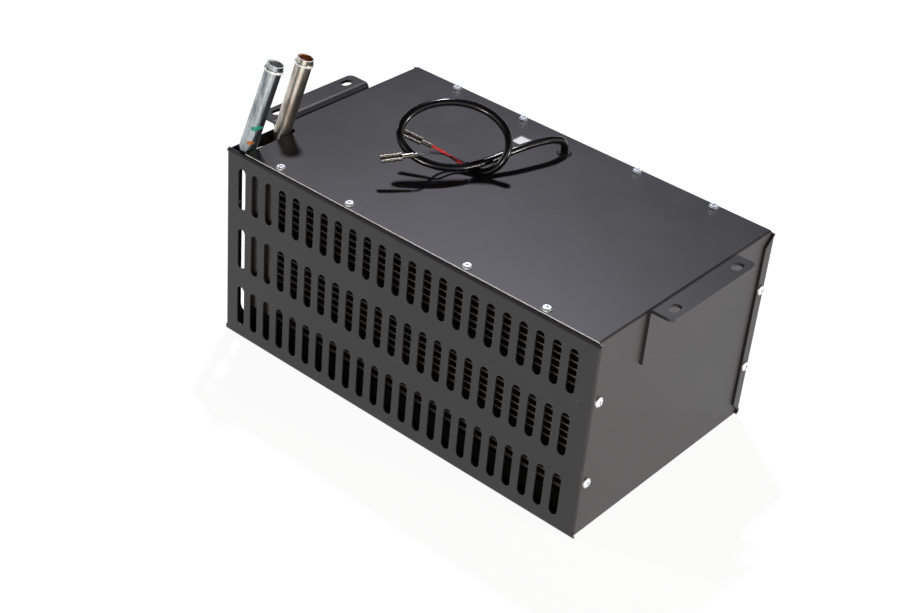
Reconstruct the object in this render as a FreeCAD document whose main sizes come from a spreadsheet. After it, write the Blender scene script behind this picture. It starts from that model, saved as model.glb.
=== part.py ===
import FreeCAD, Part
import math
import os
import Sketcher

Vector = FreeCAD.Vector
doc = FreeCAD.newDocument("auxiliary_heater")
dims = doc.addObject("Spreadsheet::Sheet", "Dims")

# Driving dimensions in millimetres
driving = [
    ("case_width", 424),
    ("case_depth", 255),
    ("case_height", 200),
    ("sheet", 1.5),
    ("lower_bend", 1.5),
    ("upper_bend", 1.0),
    ("top_setback", 2.5),
    ("strip_bend", 1.0),
    ("fit_gap", 0.3),
    ("flange_width", 18),
    ("strip_width", 12),
    ("strip_foot", 6),
    ("strip_start", 6),
    ("strip_mitre", 9),
    ("strip_gap", 1.0),
    ("slot_width", 9),
    ("slot_length", 43),
    ("slot_pitch", 17.3),
    ("slot_margin", 20),
    ("slot_shift", -2),
    ("row_pitch", 63.5),
    ("row_margin", 13),
    ("screw_radius", 2.4),
    ("screw_hole_radius", 2.65),
    ("screw_head_radius", 4.6),
    ("screw_head_height", 2.5),
    ("screw_shank", 8),
    ("recess_width", 1.2),
    ("recess_depth", 1.3),
    ("top_screw_outer", 151),
    ("top_screw_inner", 67),
    ("top_screw_inset", 8),
    ("end_screw_inset", 7.5),
    ("end_screw_spacing", 83.5),
    ("bracket_thick", 3),
    ("bracket_reach", 24.5),
    ("bracket_rise", 4),
    ("bracket_leg", 55),
    ("bracket_length", 124),
    ("bracket_bend", 2),
    ("bracket_corner", 6),
    ("bracket_slot_width", 9),
    ("bracket_slot_length", 14),
    ("bracket_slot_margin", 16),
    ("bracket_slot_inset", 10),
    ("left_bracket_shift", -6),
    ("intake_start", 15.5),
    ("intake_width", 40),
    ("intake_bottom", 8),
    ("intake_top", 187),
    ("intake_corner", 18),
    ("notch_start", 2.5),
    ("notch_end", 68),
    ("notch_corner", 6),
    ("pipe_radius", 8),
    ("pipe_wall", 1),
    ("pipe_gap", 0.6),
    ("pipe_inset", 12.8),
    ("pipe_lean_side", 0.17),
    ("elbow_radius", 10.2),
    ("elbow_drop", 13),
    ("bead_radius", 9.1),
    ("bead_width", 2.6),
    ("bead_setback", 4.5),
    ("inlet_y", 13.6),
    ("inlet_tank_y", 15.5),
    ("inlet_lean_back", 0.234),
    ("inlet_rise", 81.5),
    ("outlet_y", 57),
    ("outlet_tank_y", 53.5),
    ("outlet_lean_back", 0.192),
    ("outlet_rise", 75),
    ("tank_gap", 2.5),
    ("tank_depth", 60),
    ("tank_wall", 1.2),
    ("tank_edge", 5),
    ("left_tank_inset", 24),
    ("left_tank_width", 30),
    ("screw_tip_gap", 0.8),
    ("right_tank_width", 10),
    ("tank_top", 196),
    ("tube_plate", 1.5),
    ("tube_depth", 56),
    ("tube_thick", 1.6),
    ("tube_wall", 0.4),
    ("tube_fit", 0.05),
    ("tube_poke", 1),
    ("fin_height", 5.4),
    ("fin_thick", 0.25),
    ("fin_leg", 8),
    ("fin_gap", 0.1),
    ("side_plate", 1.5),
    ("side_lip", 1.5),
    ("seal_height", 2),
    ("shelf_top", 39),
    ("shelf_leg_setback", 8),
    ("plenum_depth", 25.5),
    ("fan_y", 45),
    ("fan_z", 95),
    ("impeller_radius", 46),
    ("impeller_inner", 37),
    ("impeller_width", 56),
    ("impeller_disc", 2),
    ("impeller_hub_radius", 9),
    ("impeller_hub", 20),
    ("blade_thick", 1.0),
    ("blade_pitch", 8.4),
    ("scroll_wall", 1.5),
    ("scroll_step", 6),
    ("scroll_tongue", 3.5),
    ("scroll_start", 53),
    ("scroll_width", 74),
    ("scroll_clear", 3.5),
    ("scroll_outlet", 56),
    ("scroll_inlet_radius", 36),
    ("scroll_flange", 10),
    ("scroll_flange_thick", 2),
    ("shaft_radius", 4),
    ("shaft_length", 236),
    ("bush_gap", 0.03),
    ("hub_gap", 0.02),
    ("shaft_hole_radius", 10),
    ("motor_radius", 36),
    ("motor_wall", 2),
    ("motor_half", 42),
    ("cap_thick", 6),
    ("cap_boss", 4),
    ("cap_boss_radius", 12),
    ("bush_radius", 8),
    ("armature_radius", 26),
    ("armature_half", 22),
    ("winding_radius", 21),
    ("winding_length", 5),
    ("magnet_inner", 28),
    ("magnet_half", 25),
    ("magnet_split", 20),
    ("brush_plate_thick", 3),
    ("brush_plate_bore", 15),
    ("commutator_radius", 12),
    ("commutator_length", 11),
    ("brush_gap", 0.3),
    ("brush_width", 8),
    ("brush_height", 6),
    ("brush_length", 15),
    ("ring_start", 20),
    ("ring_width", 16),
    ("ring_thick", 4),
    ("strap_thick", 1.5),
    ("ear_length", 14),
    ("upright_thick", 2),
    ("cradle_base", 1.5),
    ("cradle_margin", 4),
    ("small_screw_radius", 2),
    ("small_hole_radius", 2.2),
    ("small_head_radius", 3.6),
    ("small_head_height", 2),
    ("small_shank", 9),
    ("cable_x", 0.5),
    ("cable_inset", 31.5),
    ("cable_radius", 3.6),
    ("cable_fit", 0.1),
    ("grommet_neck", 5.6),
    ("grommet_flange", 7),
    ("grommet_lip", 2),
    ("inner_drop", 28),
    ("inner_reach", 28),
    ("landing_gap", 0.05),
    ("wire_radius", 1.4),
    ("wire_spread", 1.7),
    ("wire_first_run", 6),
    ("terminal_barrel", 10),
    ("terminal_barrel_radius", 2.2),
    ("terminal_lap", 3),
    ("terminal_blade", 19),
    ("terminal_blade_width", 7.4),
    ("terminal_blade_thick", 0.8),
    ("terminal_roll_radius", 1.2),
]
for row, (alias, value) in enumerate(driving, 1):
    dims.set("A%d" % row, alias)
    dims.set("B%d" % row, str(value))
    dims.setAlias("B%d" % row, alias)
doc.recompute()


# A size carries the text that binds a property to the sheet, and its value
class Size:
    def __init__(self, text, value):
        self.text = text
        self.value = value

    def __add__(self, other):
        other = as_size(other)
        return Size("(%s + %s)" % (self.text, other.text), self.value + other.value)

    def __sub__(self, other):
        other = as_size(other)
        return Size("(%s - %s)" % (self.text, other.text), self.value - other.value)

    def __mul__(self, other):
        other = as_size(other)
        return Size("(%s * %s)" % (self.text, other.text), self.value * other.value)

    def __truediv__(self, other):
        other = as_size(other)
        return Size("(%s / %s)" % (self.text, other.text), self.value / other.value)

    def __neg__(self):
        return Size("(0 - %s)" % self.text, -self.value)


def as_size(value):
    if isinstance(value, Size):
        return value
    return Size("(%s)" % repr(float(value)), float(value))


def dim(alias):
    return Size("Dims." + alias, float(dims.get(alias)))


def bind(obj, prop, size):
    obj.setExpression(prop, as_size(size).text)


def bind_base(obj, x, y, z):
    obj.Placement.Base = Vector(as_size(x).value, as_size(y).value, as_size(z).value)
    bind(obj, "Placement.Base.x", x)
    bind(obj, "Placement.Base.y", y)
    bind(obj, "Placement.Base.z", z)


# Solid primitives bound to the sheet
def box(name, x0, x1, y0, y1, z0, z1):
    made = doc.addObject("Part::Box", name)
    bind(made, "Length", as_size(x1) - x0)
    bind(made, "Width", as_size(y1) - y0)
    bind(made, "Height", as_size(z1) - z0)
    bind_base(made, x0, y0, z0)
    return made


def rod(name, radius, x0, x1, y, z):
    made = doc.addObject("Part::Cylinder", name)
    made.Placement.Rotation = FreeCAD.Rotation(Vector(0, 1, 0), 90)
    bind(made, "Radius", radius)
    bind(made, "Height", as_size(x1) - x0)
    bind_base(made, x0, y, z)
    return made


def cut(name, base, tool):
    made = doc.addObject("Part::Cut", name)
    made.Base = base
    made.Tool = tool
    return made


def fuse(name, pieces):
    made = doc.addObject("Part::MultiFuse", name)
    made.Shapes = pieces
    made.Refine = True
    return made


def mirror(name, source, normal):
    made = doc.addObject("Part::Mirroring", name)
    made.Source = source
    made.Base = Vector(0, 0, 0)
    made.Normal = normal
    return made


def shape_object(name, shape):
    made = doc.addObject("Part::Feature", name)
    made.Shape = shape
    return made


# Sketches on the planes of a body, every point bound to the sheet
def new_body(name):
    return doc.addObject("PartDesign::Body", name)


def new_sketch(body, name, role, offset):
    plane = [f for f in body.Origin.OriginFeatures if f.Role == role][0]
    sketch = body.newObject("Sketcher::SketchObject", name)
    sketch.AttachmentSupport = (plane, [""])
    sketch.MapMode = "FlatFace"
    bind(sketch, "AttachmentOffset.Base.z", offset)
    return sketch


def bind_point(sketch, geometry, point, x, y):
    for kind, size in (("DistanceX", as_size(x)), ("DistanceY", as_size(y))):
        index = sketch.addConstraint(Sketcher.Constraint(kind, -1, 1, geometry, point, size.value))
        sketch.setExpression("Constraints[%d]" % index, size.text)


def bind_radius(sketch, geometry, radius):
    index = sketch.addConstraint(Sketcher.Constraint("Radius", geometry, as_size(radius).value))
    sketch.setExpression("Constraints[%d]" % index, as_size(radius).text)


def polygon(body, name, role, corners, offset=0):
    sketch = new_sketch(body, name, role, offset)
    points = [Vector(as_size(x).value, as_size(y).value, 0) for x, y in corners]
    count = len(points)
    for i in range(count):
        sketch.addGeometry(Part.LineSegment(points[i], points[(i + 1) % count]), False)
    for i in range(count):
        sketch.addConstraint(Sketcher.Constraint("Coincident", i, 2, (i + 1) % count, 1))
    for i, (x, y) in enumerate(corners):
        bind_point(sketch, i, 1, x, y)
    return sketch


def rectangle(body, name, role, x0, x1, y0, y1, offset=0):
    return polygon(body, name, role, [(x0, y0), (x1, y0), (x1, y1), (x0, y1)], offset)


def circles(body, name, role, centres, radius, offset=0):
    sketch = new_sketch(body, name, role, offset)
    for i, (x, y) in enumerate(centres):
        centre = Vector(as_size(x).value, as_size(y).value, 0)
        sketch.addGeometry(Part.Circle(centre, Vector(0, 0, 1), as_size(radius).value), False)
        bind_point(sketch, i, 3, x, y)
        bind_radius(sketch, i, radius)
    return sketch


def obrounds(body, name, role, centres, width, length, offset=0):
    sketch = new_sketch(body, name, role, offset)
    radius = as_size(width) / 2
    reach = (as_size(length) - width) / 2
    r = radius.value
    for i, (x, y) in enumerate(centres):
        x, y = as_size(x), as_size(y)
        first = 4 * i
        low = Vector(x.value, (y - reach).value, 0)
        high = Vector(x.value, (y + reach).value, 0)
        normal = Vector(0, 0, 1)
        sketch.addGeometry(Part.ArcOfCircle(Part.Circle(high, normal, r), 0, math.pi), False)
        sketch.addGeometry(Part.LineSegment(high - Vector(r, 0, 0), low - Vector(r, 0, 0)), False)
        sketch.addGeometry(Part.ArcOfCircle(Part.Circle(low, normal, r), math.pi, 2 * math.pi), False)
        sketch.addGeometry(Part.LineSegment(low + Vector(r, 0, 0), high + Vector(r, 0, 0)), False)
        for a, b in ((0, 1), (1, 2), (2, 3), (3, 0)):
            sketch.addConstraint(Sketcher.Constraint("Tangent", first + a, 2, first + b, 1))
        sketch.addConstraint(Sketcher.Constraint("Vertical", first + 1))
        bind_radius(sketch, first, radius)
        bind_radius(sketch, first + 2, radius)
        bind_point(sketch, first, 3, x, y + reach)
        index = sketch.addConstraint(
            Sketcher.Constraint("DistanceY", -1, 1, first + 2, 3, (y - reach).value))
        sketch.setExpression("Constraints[%d]" % index, (y - reach).text)
    return sketch


# Features of a body, all of them symmetric about their sketch
def pad(body, name, sketch, length):
    made = body.newObject("PartDesign::Pad", name)
    made.Profile = sketch
    made.Midplane = True
    bind(made, "Length", length)
    return made


def pocket(body, name, sketch, length):
    made = body.newObject("PartDesign::Pocket", name)
    made.Profile = sketch
    made.Midplane = True
    bind(made, "Length", length)
    return made


def edges_at(shape, axis, spots):
    names = []
    for i, edge in enumerate(shape.Edges, 1):
        if edge.Curve.TypeId != "Part::GeomLine":
            continue
        if abs(edge.Curve.Direction[axis]) < 0.999:
            continue
        middle = list(edge.CenterOfMass)
        middle.pop(axis)
        if any(math.dist(middle, [as_size(v).value for v in spot]) < 0.05 for spot in spots):
            names.append("Edge%d" % i)
    return names


def fillet(body, name, base, axis, spots, radius):
    doc.recompute()
    made = body.newObject("PartDesign::Fillet", name)
    made.Base = (base, edges_at(base.Shape, axis, spots))
    bind(made, "Radius", radius)
    return made


def revolve(body, name, sketch):
    made = body.newObject("PartDesign::Revolution", name)
    made.Profile = sketch
    made.ReferenceAxis = (sketch, ["V_Axis"])
    made.Angle = 360
    return made


# Main planes of the case
W = dim("case_width")
D = dim("case_depth")
H = dim("case_height")
t = dim("sheet")
fit = dim("fit_gap")
under = H - t
half_w = W / 2
half_d = D / 2
panel_out = half_w - dim("strip_gap") - t
panel_in = panel_out - t
front_in = -half_d + t
lower_outer = dim("lower_bend") + t
top_screw_y = half_d - dim("top_screw_inset")
end_screw_y = half_d - dim("end_screw_inset")
end_screw_low = H / 2 - dim("end_screw_spacing") / 2
end_screw_high = H / 2 + dim("end_screw_spacing") / 2
pipe_x = -half_w + dim("pipe_inset")
cable_y = half_d - dim("cable_inset")
screw_reach = dim("screw_shank") + dim("screw_tip_gap")
notch_right = pipe_x + dim("pipe_radius") + dim("pipe_gap")
top_screw_spots = [
    (dim(name) * side, top_screw_y * end)
    for name in ("top_screw_inner", "top_screw_outer") for side in (1, -1) for end in (1, -1)]
end_screw_spots = [(end_screw_y * end, z) for end in (1, -1) for z in (end_screw_low, end_screw_high)]

# Lower case: front, bottom, back and top flanges folded from one sheet
channel = new_body("lower_channel")
fold = half_d - dim("flange_width")
channel_profile = polygon(channel, "channel_profile", "YZ_Plane", [
    (-half_d, 0), (half_d, 0), (half_d, under), (fold, under), (fold, under - t), (half_d - t, under - t),
    (half_d - t, t), (front_in, t), (front_in, under - t), (-fold, under - t), (-fold, under),
    (-half_d, under)])
channel_pad = pad(channel, "channel_pad", channel_profile, W)
outer_folds = [(y * side, z) for y in (half_d,) for side in (1, -1) for z in (as_size(0), under)]
inner_folds = [(y * side, z) for y in (half_d - t,) for side in (1, -1) for z in (t, under - t)]
channel_outer = fillet(channel, "channel_outer", channel_pad, 0, outer_folds, lower_outer)
channel_inner = fillet(channel, "channel_inner", channel_outer, 0, inner_folds, dim("lower_bend"))
slot_columns = int((W.value - 2 * dim("slot_margin").value) / dim("slot_pitch").value) + 1
slot_room = H.value - 2 * dim("row_margin").value - dim("slot_length").value
slot_rows = int(slot_room / dim("row_pitch").value) + 1
slot_x = dim("slot_shift") - dim("slot_pitch") * ((slot_columns - 1) / 2)
slot_z = under / 2 - dim("row_pitch") * ((slot_rows - 1) / 2)
slot_sketch = obrounds(
    channel, "slot_sketch", "XZ_Plane", [(slot_x, slot_z)], dim("slot_width"), dim("slot_length"),
    half_d - t / 2)
slot_cut = pocket(channel, "slot_cut", slot_sketch, t * 3)
slots = channel.newObject("PartDesign::LinearPattern", "slots")
slots.Originals = [slot_cut]
slots.Direction = (slot_sketch, ["H_Axis"])
bind(slots, "Length", dim("slot_pitch") * (slot_columns - 1))
slots.Occurrences = slot_columns
slots.Direction2 = (slot_sketch, ["V_Axis"])
bind(slots, "Length2", dim("row_pitch") * (slot_rows - 1))
slots.Occurrences2 = slot_rows
channel.Tip = slots
flange_holes = circles(
    channel, "flange_holes", "XY_Plane", top_screw_spots, dim("screw_hole_radius"), under - t / 2)
pocket(channel, "flange_hole_cut", flange_holes, t * 2)

strip = new_body("end_strip")
strip_profile = polygon(strip, "strip_profile", "XY_Plane", [
    (half_w - dim("strip_foot"), -half_d), (half_w, -half_d), (half_w, dim("strip_width") - half_d),
    (half_w - t, dim("strip_width") - half_d), (half_w - t, front_in),
    (half_w - dim("strip_foot"), front_in)],
    (dim("strip_start") + under - lower_outer) / 2)
strip_top = under - lower_outer
strip_pad = pad(strip, "strip_pad", strip_profile, strip_top - dim("strip_start"))
strip_outer = fillet(strip, "strip_outer", strip_pad, 2, [(half_w, -half_d)], dim("strip_bend") + t)
strip_inner = fillet(strip, "strip_inner", strip_outer, 2, [(half_w - t, front_in)], dim("strip_bend"))
doc.recompute()
strip_edge = dim("strip_width") - half_d
strip_ends = edges_at(strip_inner.Shape, 0, [(strip_edge, strip_top), (strip_edge, dim("strip_start"))])
strip_chamfer = strip.newObject("PartDesign::Chamfer", "strip_chamfer")
strip_chamfer.Base = (strip_inner, strip_ends)
bind(strip_chamfer, "Size", dim("strip_mitre"))
strip_holes = circles(
    strip, "strip_holes", "YZ_Plane", [(-end_screw_y, end_screw_low), (-end_screw_y, end_screw_high)],
    dim("screw_hole_radius"), half_w - t / 2)
pocket(strip, "strip_hole_cut", strip_holes, t * 3)
strip_left = mirror("end_strip_left", strip, Vector(1, 0, 0))
strip_back = mirror("end_strip_back", strip, Vector(0, 1, 0))
strip_back_left = mirror("end_strip_back_left", strip_left, Vector(0, 1, 0))

reliefs = []
for side in (1, -1):
    for end in (1, -1):
        xs = sorted([half_w * side, (half_w - dim("strip_foot")) * side], key=lambda s: s.value)
        ys = sorted([(half_d - t) * end, (half_d + 1) * end], key=lambda s: s.value)
        reliefs.append(box("wall_relief", xs[0], xs[1], ys[0], ys[1], dim("strip_start"), strip_top))
        xs = sorted([(half_w + 1) * side, (panel_in - dim("upper_bend") - fit) * side], key=lambda s: s.value)
        ys = sorted([(half_d - lower_outer) * end, (fold - 1) * end], key=lambda s: s.value)
        reliefs.append(box("flange_relief", xs[0], xs[1], ys[0], ys[1], under - t * 2, H))
    xs = sorted([(half_w + 1) * side, (panel_in - fit) * side], key=lambda s: s.value)
    reliefs.append(box("floor_relief", xs[0], xs[1], lower_outer - half_d, half_d - lower_outer, -t, t * 2))
reliefs.append(box(
    "notch_relief", -half_w, notch_right + 1, lower_outer - half_d, -fold + 1, under - t * 1.1, H))
channel_cut = cut("lower_channel_cut", channel, fuse("lower_reliefs", reliefs))
lower_case = fuse("lower_case", [channel_cut, strip, strip_left, strip_back, strip_back_left])

# Upper case: top and both ends folded from one sheet
upper = new_body("upper_sheet")
upper_profile = polygon(upper, "upper_profile", "XZ_Plane", [
    (-panel_out, 0), (-panel_in, 0), (-panel_in, under), (panel_in, under), (panel_in, 0), (panel_out, 0),
    (panel_out, H), (-panel_out, H)])
upper_pad = pad(upper, "upper_pad", upper_profile, D - dim("top_setback") * 2)
upper_outer = fillet(
    upper, "upper_outer", upper_pad, 1, [(panel_out, H), (-panel_out, H)], dim("upper_bend") + t)
upper_inner = fillet(
    upper, "upper_inner", upper_outer, 1, [(panel_in, under), (-panel_in, under)], dim("upper_bend"))
intake_y0 = dim("intake_start") - half_d
intake_y1 = intake_y0 + dim("intake_width")
intake_sketch = rectangle(
    upper, "intake_sketch", "YZ_Plane", intake_y0, intake_y1, dim("intake_bottom"), dim("intake_top"),
    -panel_out + t / 2)
intake_cut = pocket(upper, "intake_cut", intake_sketch, t * 3)
intake_round = fillet(
    upper, "intake_round", intake_cut, 0,
    [(y, z) for y in (intake_y0, intake_y1) for z in (dim("intake_bottom"), dim("intake_top"))],
    dim("intake_corner"))
notch_y0 = dim("notch_start") - half_d
notch_y1 = dim("notch_end") - half_d
notch_sketch = rectangle(
    upper, "notch_sketch", "XY_Plane", -panel_in, notch_right, notch_y0, notch_y1, H - t / 2)
notch_cut = pocket(upper, "notch_cut", notch_sketch, t * 2)
notch_round = fillet(
    upper, "notch_round", notch_cut, 2, [(notch_right, notch_y1)], dim("notch_corner"))
top_holes = circles(
    upper, "top_holes", "XY_Plane", top_screw_spots, dim("screw_hole_radius"), H - t / 2)
pocket(upper, "top_hole_cut", top_holes, t * 2)
cable_hole = circles(
    upper, "cable_hole", "XY_Plane", [(dim("cable_x"), cable_y)],
    dim("grommet_neck") + dim("cable_fit"), H - t / 2)
pocket(upper, "cable_hole_cut", cable_hole, t * 2)
end_holes = circles(upper, "end_holes", "YZ_Plane", end_screw_spots, dim("screw_hole_radius"))
pocket(upper, "end_hole_cut", end_holes, W)
trims = []
for side in (1, -1):
    for end in (1, -1):
        xs = sorted([(panel_out + 1) * side, (panel_in - 2) * side], key=lambda s: s.value)
        ys = sorted([(half_d + 1) * end, (half_d - t - fit) * end], key=lambda s: s.value)
        trims.append(box("panel_trim", xs[0], xs[1], ys[0], ys[1], -t, under))
        ys = sorted([(half_d + 1) * end, (half_d - lower_outer - fit) * end], key=lambda s: s.value)
        trims.append(box("panel_corner_trim", xs[0], xs[1], ys[0], ys[1], under - lower_outer - fit, under))
        trims.append(box("panel_foot_trim", xs[0], xs[1], ys[0], ys[1], -t, lower_outer + fit))
upper_case = cut("upper_case", upper, fuse("panel_trims", trims))


# Mounting brackets: a leg on the end panel and a flange a little above the top
def make_bracket(name, side, shift):
    body = new_body(name)
    thick = dim("bracket_thick")
    tip = panel_out + dim("bracket_reach")
    crown = H + dim("bracket_rise")
    foot = crown - dim("bracket_leg")
    profile = polygon(body, name + "_profile", "XZ_Plane", [
        (panel_out * side, foot), ((panel_out + thick) * side, foot),
        ((panel_out + thick) * side, crown - thick), (tip * side, crown - thick), (tip * side, crown),
        (panel_out * side, crown)], -as_size(shift))
    plate = pad(body, name + "_pad", profile, dim("bracket_length"))
    outer = fillet(
        body, name + "_outer", plate, 1, [(panel_out * side, crown)], dim("bracket_bend") + thick)
    inner = fillet(
        body, name + "_inner", outer, 1, [((panel_out + thick) * side, crown - thick)], dim("bracket_bend"))
    corners = [(tip * side, as_size(shift) + dim("bracket_length") / 2 * end) for end in (1, -1)]
    fillet(body, name + "_corners", inner, 2, corners, dim("bracket_corner"))
    slot_y = dim("bracket_length") / 2 - dim("bracket_slot_margin")
    centres = [
        ((tip - dim("bracket_slot_inset")) * side, as_size(shift) + slot_y * end) for end in (1, -1)]
    holes = obrounds(
        body, name + "_slots", "XY_Plane", centres, dim("bracket_slot_width"), dim("bracket_slot_length"),
        crown - thick / 2)
    pocket(body, name + "_slot_cut", holes, thick * 2)
    return body


right_bracket = make_bracket("right_bracket", 1, 0)
left_bracket = make_bracket("left_bracket", -1, dim("left_bracket_shift"))


# Pan-head screws with a cross recess, head seated on the plane of the sketch
def make_screw(name, radius, shank, head_radius, head_height):
    body = new_body(name)
    rim = head_height * 0.55
    crown = head_radius * 0.7
    profile = polygon(body, name + "_profile", "XZ_Plane", [
        (0, -shank), (radius, -shank), (radius, 0), (head_radius, 0), (head_radius, rim),
        (crown, head_height), (0, head_height)])
    revolve(body, name + "_turned", profile)
    arm = crown * 0.85
    half = dim("recess_width") / 2
    cross = polygon(body, name + "_cross", "XY_Plane", [
        (arm, -half), (arm, half), (half, half), (half, arm), (-half, arm), (-half, half), (-arm, half),
        (-arm, -half), (-half, -half), (-half, -arm), (half, -arm), (half, -half)], head_height)
    pocket(body, name + "_recess", cross, dim("recess_depth") * 2)
    return body


def copies(name, source, placements):
    doc.recompute()
    shapes = []
    for placement in placements:
        shape = source.Shape.copy()
        shape.Placement = placement.multiply(shape.Placement)
        shapes.append(shape)
    return shape_object(name, Part.Compound(shapes))


def spot(x, y, z, axis=None, angle=0):
    base = Vector(as_size(x).value, as_size(y).value, as_size(z).value)
    return FreeCAD.Placement(base, FreeCAD.Rotation(axis or Vector(0, 0, 1), angle))


case_screw = make_screw(
    "case_screw", dim("screw_radius"), dim("screw_shank"), dim("screw_head_radius"), dim("screw_head_height"))
small_screw = make_screw(
    "small_screw", dim("small_screw_radius"), dim("small_shank"), dim("small_head_radius"),
    dim("small_head_height"))
top_screws = copies("top_screws", case_screw, [spot(x, y, H) for x, y in top_screw_spots])
end_screws = copies("end_screws", case_screw, [
    spot(half_w * side, y, z, Vector(0, 1, 0), 90 * side) for side in (1, -1) for y, z in end_screw_spots])

# Heater core: two tanks, tube plates, level flat tubes, fins and side plates
tank_front = front_in + dim("tank_gap")
tank_back = tank_front + dim("tank_depth")
tank_bottom = dim("shelf_top")
tank_top = dim("tank_top")
left_tank_x = -half_w + dim("left_tank_inset")
left_plate_x = left_tank_x + dim("left_tank_width")
right_tank_end = half_w - screw_reach
right_plate_end = right_tank_end - dim("right_tank_width")
tube_front = tank_front + (dim("tank_depth") - dim("tube_depth")) / 2
tube_back = tube_front + dim("tube_depth")
side_low = tank_bottom + dim("seal_height")
fin_low = side_low + dim("side_plate")
tube_pitch = dim("tube_thick") + dim("fin_height")
tube_low = fin_low + dim("fin_height") + dim("tube_thick") / 2
tube_room = H - screw_reach - dim("side_lip") - dim("side_plate") - fin_low - dim("fin_height")
tube_count = int(tube_room.value / tube_pitch.value)
side_high = fin_low + dim("fin_height") + tube_pitch * tube_count


def make_tank(name, x0, x1, open_side):
    body = new_body(name)
    wall = dim("tank_wall")
    middle = (tank_bottom + tank_top) / 2
    outline = rectangle(body, name + "_outline", "XY_Plane", x0, x1, tank_front, tank_back, middle)
    block = pad(body, name + "_block", outline, tank_top - tank_bottom)
    inner_x0 = x0 + wall if open_side > 0 else x0 - wall
    inner_x1 = x1 + wall if open_side > 0 else x1 - wall
    room = rectangle(
        body, name + "_room", "XY_Plane", inner_x0, inner_x1, tank_front + wall, tank_back - wall, middle)
    hollow = pocket(body, name + "_hollow", room, tank_top - tank_bottom - wall * 2)
    closed = x0 if open_side > 0 else x1
    inner_closed = inner_x0 if open_side > 0 else inner_x1
    inner = fillet(
        body, name + "_inner", hollow, 2,
        [(inner_closed, tank_front + wall), (inner_closed, tank_back - wall)], dim("tank_edge") - wall)
    fillet(body, name + "_round", inner, 2, [(closed, tank_front), (closed, tank_back)], dim("tank_edge"))
    return body


def make_tube_plate(name, x0):
    body = new_body(name)
    plate = dim("tube_plate")
    outline = rectangle(
        body, name + "_outline", "YZ_Plane", tank_front, tank_back, tank_bottom, tank_top, x0 + plate / 2)
    pad(body, name + "_pad", outline, plate)
    fit_out = dim("tube_fit")
    half = dim("tube_thick") / 2 + fit_out
    opening = rectangle(
        body, name + "_opening", "YZ_Plane", tube_front - fit_out, tube_back + fit_out,
        tube_low - half, tube_low + half, x0 + plate / 2)
    first = pocket(body, name + "_cut", opening, plate * 3)
    row = body.newObject("PartDesign::LinearPattern", name + "_row")
    row.Originals = [first]
    row.Direction = (opening, ["V_Axis"])
    bind(row, "Length", tube_pitch * (tube_count - 1))
    row.Occurrences = tube_count
    body.Tip = row
    return body


left_tank_body = make_tank("left_tank_body", left_tank_x, left_plate_x, 1)
right_tank = make_tank("right_tank", right_plate_end, right_tank_end, -1)
left_tube_plate = make_tube_plate("left_tube_plate", left_plate_x)
right_tube_plate = make_tube_plate("right_tube_plate", right_plate_end - dim("tube_plate"))
core_x0 = left_plate_x + dim("tube_plate")
core_x1 = right_plate_end - dim("tube_plate")

tube_x0 = left_plate_x - dim("tube_poke")
tube_x1 = right_plate_end + dim("tube_poke")
tube_outer = box(
    "tube_outer", tube_x0, tube_x1, tube_front, tube_back, tube_low - dim("tube_thick") / 2,
    tube_low + dim("tube_thick") / 2)
tube_inner = box(
    "tube_inner", tube_x0 - 1, tube_x1 + 1, tube_front + dim("tube_wall"), tube_back - dim("tube_wall"),
    tube_low - dim("tube_thick") / 2 + dim("tube_wall"), tube_low + dim("tube_thick") / 2 - dim("tube_wall"))
flat_tube = cut("flat_tube", tube_outer, tube_inner)
core_tubes = copies(
    "core_tubes", flat_tube, [spot(0, 0, i * tube_pitch.value) for i in range(tube_count)])


# One corrugated ribbon between two tubes, folded to and fro over the width of the core
def make_ribbon():
    start = core_x0.value + dim("fin_gap").value
    length = core_x1.value - dim("fin_gap").value - start
    legs = max(2, round(length / dim("fin_leg").value))
    thick = dim("fin_thick").value
    low = fin_low.value + dim("fin_gap").value
    high = fin_low.value + dim("fin_height").value - dim("fin_gap").value
    step = (length - thick) / legs
    lower = [Vector(start + i * step, 0, low if i % 2 == 0 else high - thick) for i in range(legs + 1)]
    upper = [p + Vector(thick, 0, thick) for p in reversed(lower)]
    outline = lower + upper
    wire = Part.makePolygon(outline + [outline[0]])
    ribbon = Part.Face(wire).extrude(Vector(0, dim("tube_depth").value, 0))
    ribbon.translate(Vector(0, tube_front.value, 0))
    return ribbon


fin_ribbon = shape_object("fin_ribbon", make_ribbon())
core_fins = copies(
    "core_fins", fin_ribbon, [spot(0, 0, i * tube_pitch.value) for i in range(tube_count + 1)])

lip = dim("side_lip")
bottom_side_plate = cut(
    "bottom_side_plate",
    box("bottom_side_block", core_x0, core_x1, tube_front, tube_back, side_low - lip, fin_low),
    box("bottom_side_room", core_x0, core_x1, tube_front + lip, tube_back - lip, side_low - lip, side_low))
top_side_plate = cut(
    "top_side_plate",
    box("top_side_block", core_x0, core_x1, tube_front, tube_back, side_high,
        side_high + dim("side_plate") + lip),
    box("top_side_room", core_x0, core_x1, tube_front + lip, tube_back - lip,
        side_high + dim("side_plate"), side_high + dim("side_plate") + lip))
core_bottom_seal = box(
    "core_bottom_seal", core_x0, core_x1, tube_front + lip * 2, tube_back - lip * 2, tank_bottom, side_low)
core_top_seal = box(
    "core_top_seal", core_x0, core_x1, -fold + lip, tube_back - lip * 2,
    side_high + dim("side_plate"), under)


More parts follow.
